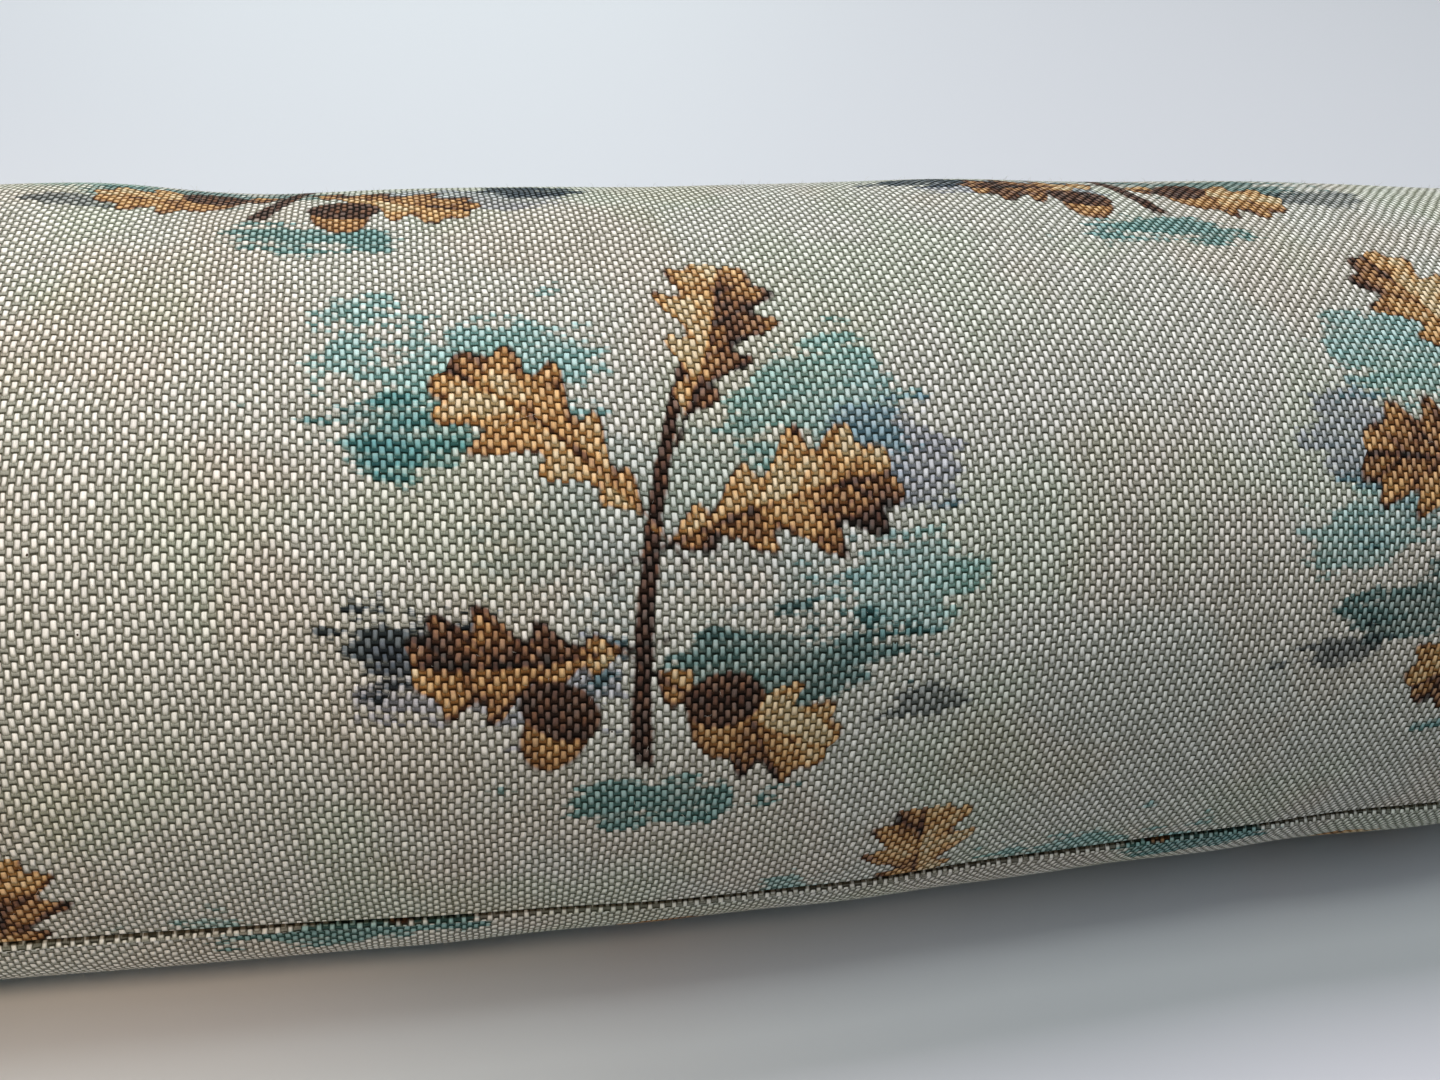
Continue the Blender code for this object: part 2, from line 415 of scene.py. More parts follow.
def closing_ring(points, outward_x):
    """The ring just inside an end seam, where the two layers of cloth meet."""
    middle = (points + points[sewn_to]) / 2
    ring = middle + STILL_OPEN * (points - middle)
    ring[:, 0] -= outward_x * TURNED_IN
    return ring


left_ring, right_ring = closing_ring(cloth_points[0], -1), closing_ring(cloth_points[-1], 1)
rings = np.concatenate([left_ring[None], cloth_points, right_ring[None]])
ring_along = np.concatenate([[along[0] - TURNED_IN], along, [along[-1] + TURNED_IN]])
ring_round = np.hstack([cloth_round, seam_round])
ring_round = np.vstack([ring_round[:1], ring_round, ring_round[-1:]])
print("rings", len(rings), "of", len(places), "points")

# %% Faces and their places on the flat cloth
count = len(places)
faces, face_uvs = [], []
for r in range(len(rings) - 1):
    here, beyond = ring_along[r], ring_along[r + 1]
    near_row, far_row = ring_round[r], ring_round[r + 1]
    for c in range(count):
        after = (c + 1) % count
        faces.append((r * count + c, (r + 1) * count + c, (r + 1) * count + after, r * count + after))
        face_uvs += [(here, near_row[c]), (beyond, far_row[c])]
        face_uvs += [(beyond, far_row[c + 1]), (here, near_row[c + 1])]
for first, turn in ((0, 1), ((len(rings) - 1) * count, -1)):
    for over in range(count // 2):
        ladder = [over, over + 1, count - over - 1, (count - over) % count]
        face = [first + k for k in dict.fromkeys(ladder)][::turn]
        faces.append(tuple(face))
        face_uvs += [(ring_along[0 if turn > 0 else -1], places[over])] * len(face)
print("faces", len(faces), "corners", len(face_uvs))

# %% The cover


def new_mesh(name, points, faces):
    made = bpy.data.meshes.new(name)
    made.from_pydata(points, [], faces)
    return made


mesh = new_mesh("roll_cloth", rings.reshape(-1, 3).tolist(), faces)
cloth_map = mesh.uv_layers.new(name="Cloth")
cloth_map.data.foreach_set("uv", np.array(face_uvs, np.float32).ravel())
mesh.shade_smooth()
mesh.validate()
roll_cloth = add_object("roll_cloth", mesh)
litres = sum(mesh.vertices[p.vertices[0]].co.dot(p.normal) * p.area for p in mesh.polygons) / 3 * 1000
print("cover", len(mesh.vertices), "vertices,", len(mesh.polygons), "faces,", round(litres, 2), "litres")

# %% [markdown]
# ## A small kit for shader maths
#
# Blender's materials are graphs of nodes. Long formulas are easier to read as Python, so one small class
# wraps a socket and turns arithmetic into Math nodes. Every other node comes from one method.

# %% Wires


class Wire:
    """An output socket of a shader node. Arithmetic on it adds Math nodes."""

    def __init__(self, finish, socket):
        self.finish, self.socket = finish, socket

    def maths(self, operation, *others):
        return self.finish.maths(operation, self, *others)

    def __add__(self, other):
        return self.maths("ADD", other)

    def __sub__(self, other):
        if isinstance(other, tuple):
            return self.finish.vector("SUBTRACT", self, other)
        return self.maths("SUBTRACT", other)

    def __rsub__(self, other):
        return self.finish.maths("SUBTRACT", other, self)

    def __mul__(self, other):
        return self.maths("MULTIPLY", other)

    def __truediv__(self, other):
        return self.maths("DIVIDE", other)

    def __pow__(self, other):
        return self.maths("POWER", other)

    def __abs__(self):
        return self.maths("ABSOLUTE")

    def __lt__(self, other):
        return self.maths("LESS_THAN", other)

    def __gt__(self, other):
        return self.maths("GREATER_THAN", other)

    __radd__, __rmul__ = __add__, __mul__

    def fades(self, full, none):
        """1 where the value is at full or past it, falling smoothly to 0 at none."""
        span = [self, none, full, 0.0, 1.0]
        return self.finish.node("ShaderNodeMapRange", {"interpolation_type": "SMOOTHSTEP"}, span)


print("a wire understands", [name.strip("_") for name, made in vars(Wire).items() if callable(made)])

# %% Ramps and curves


def set_stops(node, stops):
    elements = node.color_ramp.elements
    while len(elements) < len(stops):
        elements.new(1.0)
    for element, (position, colour) in zip(elements, stops):
        element.position = position
        element.color = colour


def set_points(node, points):
    curve = node.mapping.curves[0]
    curve.points[0].location = points[0]
    curve.points[1].location = points[-1]
    for x, y in points[1:-1]:
        curve.points.new(x, y)
    node.mapping.update()


SETTERS = {"stops": set_stops, "points": set_points}
print("settings with setters of their own", list(SETTERS))

# %% Finishes


class Finish:
    """A material, with one method that adds any node to it."""

    def __init__(self, name):
        self.material = bpy.data.materials.new(name)
        self.material.use_nodes = True
        self.tree = self.material.node_tree
        self.tree.nodes.clear()

    def node(self, kind, settings=None, inputs=(), output=0):
        made = self.tree.nodes.new(kind)
        for name, value in (settings or {}).items():
            if name in SETTERS:
                SETTERS[name](made, value)
            else:
                setattr(made, name, value)
        pairs = inputs.items() if isinstance(inputs, dict) else enumerate(inputs)
        for key, value in pairs:
            if isinstance(value, Wire):
                self.tree.links.new(value.socket, made.inputs[key])
            elif value is not None:
                made.inputs[key].default_value = value
        return Wire(self, made.outputs[output]) if made.outputs else made

    def maths(self, operation, *values):
        return self.node("ShaderNodeMath", {"operation": operation}, values)

    def vector(self, operation, *values):
        return self.node("ShaderNodeVectorMath", {"operation": operation}, values)

    def join(self, x, y, z=0.0):
        return self.node("ShaderNodeCombineXYZ", None, [x, y, z])

    def split(self, vector):
        made = self.node("ShaderNodeSeparateXYZ", None, [vector])
        return [Wire(self, socket) for socket in made.socket.node.outputs]

    def blend(self, share, first, second, how="MIX"):
        """Two colours mixed by this share of the second."""
        settings = {"data_type": "RGBA", "blend_type": how}
        return self.node("ShaderNodeMix", settings, {0: share, 6: first, 7: second}, 2)

    def tinted(self, colour, tint, share=1.0):
        """A colour multiplied by this share of a tint, as light is that passes through ink or shade."""
        return self.blend(share, colour, tint, "MULTIPLY")

    def grey(self, value):
        return self.join(value, value, value)

    def ramp(self, share, stops):
        return self.node("ShaderNodeValToRGB", {"stops": stops}, [share])

    def curve(self, value, points):
        """A number read off a smooth curve through these points."""
        return self.node("ShaderNodeFloatCurve", {"points": points}, {"Value": value})

    def noise(self, at, scale, detail=2.0, roughness=0.5, output=0, dimensions="2D"):
        """Cloudy noise of this scale: a value, or a colour as output 1."""
        inputs = {"Vector": at, "Scale": scale, "Detail": detail, "Roughness": roughness}
        return self.node("ShaderNodeTexNoise", {"noise_dimensions": dimensions}, inputs, output)

    def lots(self, column, row):
        """Three random numbers from 0 to 1 for each cell of a grid, always the same ones."""
        cell = self.join(column, row)
        return self.split(self.node("ShaderNodeTexWhiteNoise", {"noise_dimensions": "2D"}, [cell], 1))

    def surface(self, **inputs):
        """The shader itself, with its sockets named as Python words."""
        sockets = {name.replace("_", " "): value for name, value in inputs.items()}
        shader = self.node("ShaderNodeBsdfPrincipled", None, sockets)
        self.node("ShaderNodeOutputMaterial", None, {"Surface": shader})


print("a finish offers", [name for name in vars(Finish) if name[0] != "_"])

# %% Colours and lots


def linear(red, green, blue):
    """A colour as it is read off a screen, 0 to 255, as the linear numbers that shaders use."""
    scaled = [v / 255 for v in (red, green, blue)]
    return tuple(v / 12.92 if v <= 0.04045 else ((v + 0.055) / 1.055) ** 2.4 for v in scaled) + (1.0,)


def vary(lot, least, more):
    """A value that is least for a lot of 0, and this much more for a lot of 1."""
    return least + more * lot


CREAM = linear(247, 245, 233)
print("cream yarn is", [round(v, 3) for v in CREAM])

# %% [markdown]
# ## The weave
#
# It is a plain weave of a thick cream warp, which runs round the roll, over a thinner grey-olive weft, which
# runs along it. So the eye sees upright cream floats set like bricks, with dark gaps between them and a bit
# of weft under each. At 0.8 mm a yarn there are over 200,000 floats, far too many to model. An image of
# cloth would repeat and blur, so the height and the colour of each point come from its place on the cloth:
# which column of the warp it is in, how far down its float it lies, and how far off the float's middle.
#
# A float and the gap under it take two picks, which are passes of the weft, and every other column is moved
# by one pick. Real yarns wander, so soft noise moves each point a little before it is counted.

# %% Which float a point lies on
WARP_PITCH, WEFT_PITCH = 0.00080, 0.00086
WANDER_SCALE, WANDER = 210.0, 0.75  # bends of the yarns to a metre, and how far they go, in pitches
PICK_SLOPE = 0.028  # how far the picks climb along the roll
PICK_BOW, PICK_BOW_REACH = 0.0076, 0.100

cover = Finish("woven_cloth")
place = cover.node("ShaderNodeUVMap", {"uv_map": "Cloth"})
metres_along, metres_round, _ = cover.split(place)
wander = cover.noise(place, WANDER_SCALE, output=1) - (0.5, 0.5, 0.5)
wander_across, wander_up, slub = cover.split(wander)
across = metres_along / WARP_PITCH + wander_across * WANDER
climbed = metres_along * PICK_SLOPE - (metres_along / PICK_BOW_REACH).maths("COSINE") * PICK_BOW
up = (metres_round + climbed) / WEFT_PITCH + wander_up * WANDER
column = across.maths("FLOOR")
parity = column.maths("FLOORED_MODULO", 2.0)
turn = (parity - up) / 2
pick = turn.maths("FLOOR")
down = turn - pick
luck, lucky_end, lucky_shade = cover.lots(column, pick)
print("warp columns", round(CUT_LENGTH / WARP_PITCH), "floats down each", round(CUT_GIRTH / WEFT_PITCH / 2))

# %% [markdown]
# ### Thick and thin
#
# A float is a round yarn that dives under the weft at both ends, so its height is one arch across and
# another along. Slubs, which are thick places in a yarn, and each float's own lot change its width. Real
# height would take millions of faces, and a bump map holds all of it that shows at this distance.

# %% The height of the yarns
FLOAT_MIDDLE, FLOAT_LENGTH = 0.345, 0.335  # down the two picks, and half its length there
FLOAT_WIDTH, WIDTH_LOT, SLUB = 0.360, (0.90, 0.20), 0.10  # half its width, in pitches
FLOAT_SLANT, SIDE_LOT, END_LOT = 0.06, 0.07, 0.05
SQUARE_ACROSS, SQUARE_ALONG, FLOAT_EDGE = 4, 5, (0.70, 1.35)
FLOAT_ARCH = 0.75  # how far a float bends down at its ends
WEFT_MIDDLE, WEFT_LENGTH, WEFT_HEIGHT = 0.78, 0.15, 0.45


def arch(squared):
    """The height of a round yarn, from the square of the distance off its middle."""
    return (1 - squared).maths("MAXIMUM", 0.0) ** 0.5


side = across - column - 0.5 + (down - FLOAT_MIDDLE) * FLOAT_SLANT + (luck - 0.5) * SIDE_LOT
over = abs(side) / (FLOAT_WIDTH * vary(lucky_end, *WIDTH_LOT) + slub * SLUB)
along_float = abs(down - FLOAT_MIDDLE - END_LOT * (lucky_shade - 0.5)) / FLOAT_LENGTH
float_mask = (over**SQUARE_ACROSS + along_float**SQUARE_ALONG).fades(*FLOAT_EDGE)
weft_off = abs(down - WEFT_MIDDLE) / WEFT_LENGTH
float_height = arch(over * over) * arch(along_float * along_float * FLOAT_ARCH)
height = float_height.maths("MAXIMUM", arch(weft_off * weft_off) * WEFT_HEIGHT)
print("a float's length is", mm(4 * FLOAT_LENGTH * WEFT_PITCH))

# %% The colour of the yarns, with painted shade
FIBRES_ACROSS, FIBRES_UP = 8, 0.8  # streaks of fibre in a pitch
FLOAT_TONE, FIBRE_TONE, UNDER_TONE = (0.88, 0.20), (0.76, 0.46), (0.60, 0.80)

# Down one float and the bit of weft below it: the place, then the colour there, with painted shade in it.
# The float is cream, with painted shade at its top edge and down its lower end, where it dives under the
# weft.
FLOAT_PAINTED_SHADE = [
    (0.00, linear(178, 176, 166)),
    (0.06, linear(250, 250, 250)),
    (0.42, linear(255, 255, 255)),
    (0.66, linear(180, 181, 170)),
]
# The grey-olive weft, with painted shadow in the gaps beside the float and on the dark line above the next
# float.
UNDER_COLOUR_AND_PAINTED_SHADE = [
    (0.00, linear(76, 75, 61)),
    (0.08, linear(116, 115, 99)),
    (0.58, linear(114, 114, 98)),
    (0.69, linear(157, 158, 144)),
    (0.85, linear(151, 152, 138)),
    (0.93, linear(69, 68, 55)),
]

fibres = cover.noise(cover.join(across * FIBRES_ACROSS, up * FIBRES_UP), 1.0, 1.0)
shade = vary(lucky_shade, *FLOAT_TONE) * vary(fibres, *FIBRE_TONE)
float_colour_and_shade = cover.tinted(cover.ramp(down, FLOAT_PAINTED_SHADE), CREAM)
float_colour_and_shade = cover.tinted(float_colour_and_shade, cover.grey(shade))
under_colour_and_shade = cover.tinted(cover.ramp(down, UNDER_COLOUR_AND_PAINTED_SHADE), cover.grey(vary(fibres, *UNDER_TONE)))
yarn_colour_and_shade = cover.blend(float_mask, under_colour_and_shade, float_colour_and_shade)
print("nodes for the yarns", len(cover.tree.nodes))

# %% [markdown]
# ### Specks and the groove
#
# Bits of husk stay in the yarn as dark specks smaller than a float, so a rare lot gives a float one. The
# channel is too shallow for shadow alone to darken it as deeply as the real one. So the cloth in it gets
# painted shade by its place, with dark teeth of painted shadow on the weft below it, and less at every
# stitch.

# %% Specks of husk
SPECKLED = 0.9991  # a float with a lot past this has a speck
SPECK_ASIDE, SPECK_BELOW = 0.6, 0.7  # over what share of the float it may lie
SPECK_THIN, SPECK_SHORT = 40, 160  # 1 over the square of its half width and half length
HUSK = linear(84, 70, 58)

off_speck = side - (lucky_end - 0.5) * SPECK_ASIDE
below_speck = down - SPECK_BELOW * lucky_shade
on_speck = off_speck * off_speck * SPECK_THIN + below_speck * below_speck * SPECK_SHORT < 1
speck = on_speck * (luck > SPECKLED)
print("one float in", round(1 / (1 - SPECKLED)), "has a speck")

# %% The shade in the groove
STITCH_PITCH = 0.0021  # the stitches inside pull the groove together this often
STITCH_WANDER, STITCH_EDGE, STITCH_LIGHT = 0.5, (0.05, 0.14), 0.45
TEETH = 0.6
SEAM_SHADE, SEAM_DARK = linear(86, 75, 54), 0.94

past_girth = metres_round - CUT_GIRTH
# Painted shade in the channel, and painted shadow on the weft between the first floats below it.
teeth = past_girth.fades(*GROOVE_TEETH) * (1 - float_mask) * TEETH
line = metres_round.fades(*GROOVE_ABOVE).maths("MAXIMUM", past_girth.fades(*GROOVE_BELOW))
stitches = (metres_along / STITCH_PITCH + wander_up * STITCH_WANDER).maths("PINGPONG", 0.5)
seam_painted_shade = (line * (1 - STITCH_LIGHT * stitches.fades(*STITCH_EDGE))).maths("MAXIMUM", teeth)
print("stitches in the long seam", round(CUT_LENGTH / STITCH_PITCH))

# %% [markdown]
# ## The print
#
# The cloth is printed in a watercolour manner: a motif in ambers and browns stands on loose washes of teal,
# sea green, slate and lavender. The motif here is a sprig of oak, drawn for this lesson: lobed leaves on a
# twig, with two acorns. A print is ink, so its colours are stored as what the ink lets through, and they
# multiply the yarns. An image would be only as sharp as its pixels. Here each leaf is a curve of half
# breadth along its midrib, so it stays crisp at any distance.
#
# Sprigs lie in rows, and each row is shifted by a third of the repeat. Each sprig is turned a little by its
# own lot, and every other one is mirrored.

# %% The place of the ink
SNAP = 0.35  # how far a print's edge moves to the nearest float, because a float takes ink all at once

float_round = (parity - (pick + FLOAT_MIDDLE) * 2) * WEFT_PITCH - climbed
float_place = cover.join((column + 0.5) * WARP_PITCH, float_round)
to_float = cover.vector("SUBTRACT", float_place, place)
snapped = cover.vector("MULTIPLY_ADD", to_float, (SNAP, SNAP, 0), place)
millimetres = cover.node("ShaderNodeVectorMath", {"operation": "SCALE"}, {0: snapped, "Scale": 1000.0})
print("nodes so far", len(cover.tree.nodes))

# %% The repeat
REPEAT_ALONG, REPEAT_ROUND = 120.0, 78.0  # millimetres
FIRST_ALONG, FIRST_ROUND = -19.0, 56.0  # the middle of one sprig
ROW_SHIFT, SPRIG_TURN = 3, 0.5  # rows until sprigs line up again, and how far one turns, in radians

along_mm, round_mm, _ = cover.split(millimetres)
row_place = (round_mm - FIRST_ROUND) / REPEAT_ROUND + 0.5
row = row_place.maths("FLOOR")
tile_place = (along_mm - FIRST_ALONG) / REPEAT_ALONG + 0.5 + row / ROW_SHIFT
tile_column = tile_place.maths("FLOOR")
sprig_lot, _, _ = cover.lots(tile_column, row)
mirror = 1 - 2 * (tile_column + row).maths("FLOORED_MODULO", 2.0)
tile_along = (tile_place - tile_column - 0.5) * REPEAT_ALONG * mirror
tile = cover.join(tile_along, (row_place - row - 0.5) * REPEAT_ROUND)
turning = {"Vector": tile, "Angle": (sprig_lot - 0.5) * SPRIG_TURN}
sprig = cover.node("ShaderNodeVectorRotate", {"rotation_type": "Z_AXIS"}, turning)
print("sprigs on the cloth", round(CUT_LENGTH * CUT_GIRTH * 1e6 / REPEAT_ALONG / REPEAT_ROUND))

# %% Brush and paper
ROUGH_SCALE, LOBE_SCALE, TINT_SCALE = 0.45, 0.085, 0.034  # features to a millimetre
STREAK_SCALE = (0.09, 0.60, 1.0)

rough_noise = cover.noise(millimetres, ROUGH_SCALE, 4.0, 0.68)
lobes = cover.noise(millimetres, LOBE_SCALE, 3.0, 0.6)
streaks = cover.noise(cover.vector("MULTIPLY", millimetres, STREAK_SCALE), 1.0, 4.0, 0.65)
pinker, greener, _ = cover.split(cover.noise(millimetres, TINT_SCALE, output=1))
rough, broad = rough_noise - 0.5, lobes - 0.5
print("broad brush marks are about", round(1 / LOBE_SCALE), "mm long")

# %% Places in a shape's own frame


def laid(at, centre, degrees, size):
    """The same points in a shape's own frame: from its centre, turned as it is, and 1 at its size."""
    laying = {"Vector": at, "Location": (*centre, 0), "Rotation": (0, 0, math.radians(degrees))}
    laying["Scale"] = (*size, 1)
    return cover.node("ShaderNodeMapping", {"vector_type": "TEXTURE"}, laying)


def oval(at, centre, degrees, size):
    """The distance from the middle of an oval, 1 at its rim."""
    return cover.node("ShaderNodeVectorMath", {"operation": "LENGTH"}, [laid(at, centre, degrees, size)], 1)


print("shapes are in millimetres, on a tile of", REPEAT_ALONG, "by", REPEAT_ROUND)

# %% [markdown]
# ### Washes
#
# The washes were laid first, wet, so their edges fray and their colour runs in streaks. Each is an oval
# with its rim moved by the brush's noise. Where they overlap they multiply each other, as thin ink does.

# %% Inks of the washes
TEAL, PALE_TEAL = (0.33, 0.57, 0.60, 1), (0.52, 0.79, 0.83, 1)
SEA_GREEN, SLATE = (0.26, 0.42, 0.44, 1), (0.13, 0.17, 0.21, 1)
LAVENDER, MIST = (0.66, 0.68, 0.80, 1), (0.72, 0.80, 0.84, 1)

# The middle of each wash, its reach across and up, its ink, and how strongly it was laid.
WASHES = [
    ((-21.0, 19.0), (17.0, 11.0), PALE_TEAL, 1.0),
    ((-27.0, 12.0), (11.0, 6.0), TEAL, 0.9),
    ((19.0, 17.0), (12.0, 9.0), PALE_TEAL, 0.9),
    ((29.0, -6.0), (10.0, 8.0), PALE_TEAL, 0.8),
    ((15.0, -15.0), (19.0, 6.0), SEA_GREEN, 1.0),
    ((-2.0, -33.0), (14.0, 4.5), TEAL, 1.1),
    ((-30.0, -13.0), (10.0, 4.5), SLATE, 1.2),
    ((-20.0, -17.0), (16.0, 6.5), LAVENDER, 1.0),
    ((27.0, 8.0), (10.0, 8.0), LAVENDER, 1.0),
    ((31.0, -22.0), (8.0, 3.5), SLATE, 0.7),
    ((2.0, 2.0), (26.0, 12.0), MIST, 0.6),
]
print("washes under a sprig", len(WASHES))

# %% Laying the washes
WHITE = (1.0, 1.0, 1.0, 1.0)
FAINT_PINK, PINK_EDGE = (1.0, 0.955, 0.935, 1), (0.62, 0.46)
FAINT_GREEN, GREEN_EDGE = (0.945, 0.985, 0.94, 1), (0.64, 0.48)
FRAY_BROAD, FRAY_FINE, SHRINK = 2.2, 1.6, 0.95
WASH_EDGE, WASH_BODY, WASH_STRENGTH = (0.26, 0.02), (0.15, 1.25), 1.15

frayed = lobes * FRAY_BROAD + streaks * FRAY_FINE - SHRINK
body = vary(streaks, *WASH_BODY)
ground = cover.blend(pinker.fades(*PINK_EDGE), WHITE, FAINT_PINK)
ground = cover.tinted(ground, FAINT_GREEN, greener.fades(*GREEN_EDGE))
for centre, size, colour, depth in WASHES:
    edge = (frayed - oval(tile, centre, 0, size)).fades(*WASH_EDGE)
    mask = edge * body * depth * WASH_STRENGTH
    ground = cover.tinted(ground, colour, mask.maths("MINIMUM", 1.0))
print("nodes so far", len(cover.tree.nodes))

# %% [markdown]
# ### The sprig
#
# Each leaf, acorn and twig gives a mask, which says where it is, and a tone from 0, darkest, to 1, palest.
# A ramp turns the tone into ink, so one set of ambers and browns serves them all.

# %% Leaves
LOBE_LEAN, LEAF_FRAY, LEAF_EDGE = 0.13, 0.16, (0.05, -0.05)
VEINS, VEIN_LEAN, VEIN_SHARE = 5, 0.34, 0.6
MIDRIB_EDGE, VEIN_EDGE, RIM_EDGE = (0.015, 0.075), (0.02, 0.13), (0.0, 0.16)
LIT_HALF, LIT_EDGE, FINE_BRUSH, BROAD_BRUSH = 0.26, (0.07, -0.07), 0.60, 1.5
RIB_DARK, RIM_DARK = 0.30, 0.24

# Half the breadth of an oak leaf from its stalk to its tip, as a share of its greatest half breadth.
OAK_LEAF = [
    (0.00, 0.03), (0.07, 0.06), (0.17, 0.34), (0.235, 0.20), (0.36, 0.66), (0.44, 0.38),
    (0.575, 1.00), (0.66, 0.58), (0.775, 0.86), (0.855, 0.52), (0.93, 0.46), (1.00, 0.00),
]

# Where each leaf leaves the twig, which way it points, its length, half breadth and bend, and its tone.
LEAVES = [
    ((-1.5, -13.0), 196.0, 25.0, 7.2, -0.5, 0.40),
    ((-1.0, -15.0), -18.0, 26.0, 7.4, 0.5, 0.52),
    ((-1.5, 1.0), 150.0, 29.0, 8.2, 0.6, 0.62),
    ((-1.2, -2.0), 27.0, 30.0, 8.4, -0.6, 0.46),
    ((0.5, 13.0), 82.0, 27.0, 8.0, 0.5, 0.58),
]


def leaf(at, base, degrees, length, breadth, bend, tone):
    """One oak leaf, as its mask and its tone."""
    out, off, _ = cover.split(laid(at, base, degrees, (length, breadth)))
    off = off + out * (1 - out) * bend
    aside = abs(off)
    inside = cover.curve(out - aside * LOBE_LEAN, OAK_LEAF) - aside + rough * LEAF_FRAY
    vein_place = (out - aside * VEIN_LEAN) * VEINS
    off_vein = abs(vein_place - vein_place.maths("ROUND"))
    ribs = aside.fades(*MIDRIB_EDGE) + off_vein.fades(*VEIN_EDGE) * VEIN_SHARE
    lit = off.fades(*LIT_EDGE) * LIT_HALF + rough * FINE_BRUSH + broad * BROAD_BRUSH
    shaded = tone + lit - ribs * RIB_DARK - inside.fades(*RIM_EDGE) * RIM_DARK
    return inside.fades(*LEAF_EDGE), shaded


marks = [leaf(sprig, *one) for one in LEAVES]
print("leaves", len(marks), "nodes so far", len(cover.tree.nodes))

# %% Acorns
ACORNS = [((9.5, -20.5), 22.0), ((-9.0, -25.0), -14.0)]
NUT_SIZE, CUP_SIZE, CUP_LIFT = (3.9, 5.6), (4.9, 3.6), 2.6
ACORN_EDGE = (0.92, 1.05)
NUT_TONE, NUT_ROUND, NUT_BRUSH = 0.66, 0.30, 0.5
CUP_TONE, CUP_BRUSH = 0.20, 0.6


def acorn(at, centre, degrees):
    """An acorn hanging point down, as its mask and its tone."""
    nut = oval(at, centre, degrees, NUT_SIZE)
    cup = oval(at, (centre[0], centre[1] + CUP_LIFT), degrees, CUP_SIZE)
    cup_mask = cup.fades(*ACORN_EDGE)
    nut_tone = NUT_TONE - nut * nut * NUT_ROUND + rough * NUT_BRUSH
    cup_tone = CUP_TONE + rough * CUP_BRUSH
    tone = nut_tone + (cup_tone - nut_tone) * cup_mask
    return nut.fades(*ACORN_EDGE).maths("MAXIMUM", cup_mask), tone


marks += [acorn(sprig, *one) for one in ACORNS]
print("leaves and acorns", len(marks))

# %% The twig
TWIG_BEND, TWIG_ASIDE, TWIG_LOWERED = 0.0042, 1.6, 2
TWIG_THICK, TWIG_TAPER, TWIG_FRAY = 0.95, 0.012, 0.9
TWIG_EDGE, TWIG_ENDS = (-0.25, 0.25), (25.0, 27.0)
TWIG_TONE, TWIG_BRUSH = 0.16, 0.5

sprig_across, sprig_up, _ = cover.split(sprig)
twig_bow = sprig_up * sprig_up * TWIG_BEND - TWIG_ASIDE
twig_half = TWIG_THICK - sprig_up * TWIG_TAPER + rough * TWIG_FRAY
off_twig = abs(sprig_across - twig_bow) - twig_half
covered = off_twig.fades(*TWIG_EDGE) * abs(sprig_up + TWIG_LOWERED).fades(*TWIG_ENDS)
tone = TWIG_TONE + rough * TWIG_BRUSH
print("the twig is", 2 * TWIG_ENDS[0], "mm long")

# %% The whole print
MOTIF_INKS = [
    (0.00, (0.040, 0.022, 0.018, 1)),
    (0.16, (0.12, 0.050, 0.036, 1)),
    (0.32, (0.30, 0.135, 0.070, 1)),
    (0.48, (0.64, 0.35, 0.155, 1)),
    (0.68, (0.95, 0.60, 0.29, 1)),
    (0.90, (1.00, 0.82, 0.58, 1)),
]

for mask, mark_tone in marks:
    tone = tone + (mark_tone - tone) * mask
    covered = covered.maths("MAXIMUM", mask)
ink = cover.blend(covered, ground, cover.ramp(tone, MOTIF_INKS))
print("nodes with the print", len(cover.tree.nodes))

# %% [markdown]
# ## Putting the cover together
#
# Ink lies thin on a float and gathers in the gaps, so it is deeper between the floats. The cloth hardly
# shines, because its fibres point every way. The cover and its filling are one padded piece.

# %% The inked cloth
GAP_INK = 0.75  # how much of a second coat of ink the gaps hold
TAKEN, SPARED = 0.98, 0.09  # the share of the ink that cloth takes, and how much of it a float may spare

ink = cover.blend(float_mask, cover.tinted(ink, ink, GAP_INK), ink)
taken = TAKEN - SPARED * float_mask * luck
inked = cover.tinted(yarn_colour_and_shade, ink, taken)
inked = cover.tinted(inked, HUSK, speck)
inked = cover.tinted(inked, SEAM_SHADE, seam_painted_shade * SEAM_DARK)
print("the palest float takes", round(TAKEN - SPARED, 2), "of the ink")

# %% The cover's surface
YARN_HEIGHT = 0.00026

bumped = {"Strength": 1.0, "Distance": YARN_HEIGHT, "Height": height}
lifted = cover.node("ShaderNodeBump", None, bumped)
cover.surface(Base_Color=inked, Roughness=0.9, Specular_IOR_Level=0.05, Normal=lifted)
roll_cloth.data.materials.append(cover.material)
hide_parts(ROLL)
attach(roll_cloth, "root")
print("cover nodes", len(cover.tree.nodes))

# %% [markdown]
# ## Fuzz
#
# The yarn is soft-spun, so short fibres stand off it. They show along the outline, where they blur it, and a
# few long ones have come loose. A hair system would need its own shader and isn't exported, so each fibre is
# a thin three-sided tube, tapering to a point, and all fibres of one kind are one mesh.

# %% Points on the cloth


def on_cloth(at_along, at_round):
    """The points of the cloth at these places on it, and which way is outward there."""
    r = np.clip(np.searchsorted(along, at_along) - 1, 0, len(along) - 2)
    c = np.clip(np.searchsorted(places, at_round) - 1, 0, len(places) - 2)
    t = ((at_along - along[r]) / (along[r + 1] - along[r]))[:, None]
    u = ((at_round - places[c]) / (places[c + 1] - places[c]))[:, None]
    point, outward = (
        (grid[r, c] * (1 - u) + grid[r, c + 1] * u) * (1 - t)
        + (grid[r + 1, c] * (1 - u) + grid[r + 1, c + 1] * u) * t
        for grid in (cloth_points, normals)
    )
    return point, unit(outward)


print("a point on the front", on_cloth(np.zeros(1), np.full(1, CUT_GIRTH / 4))[0].round(4))

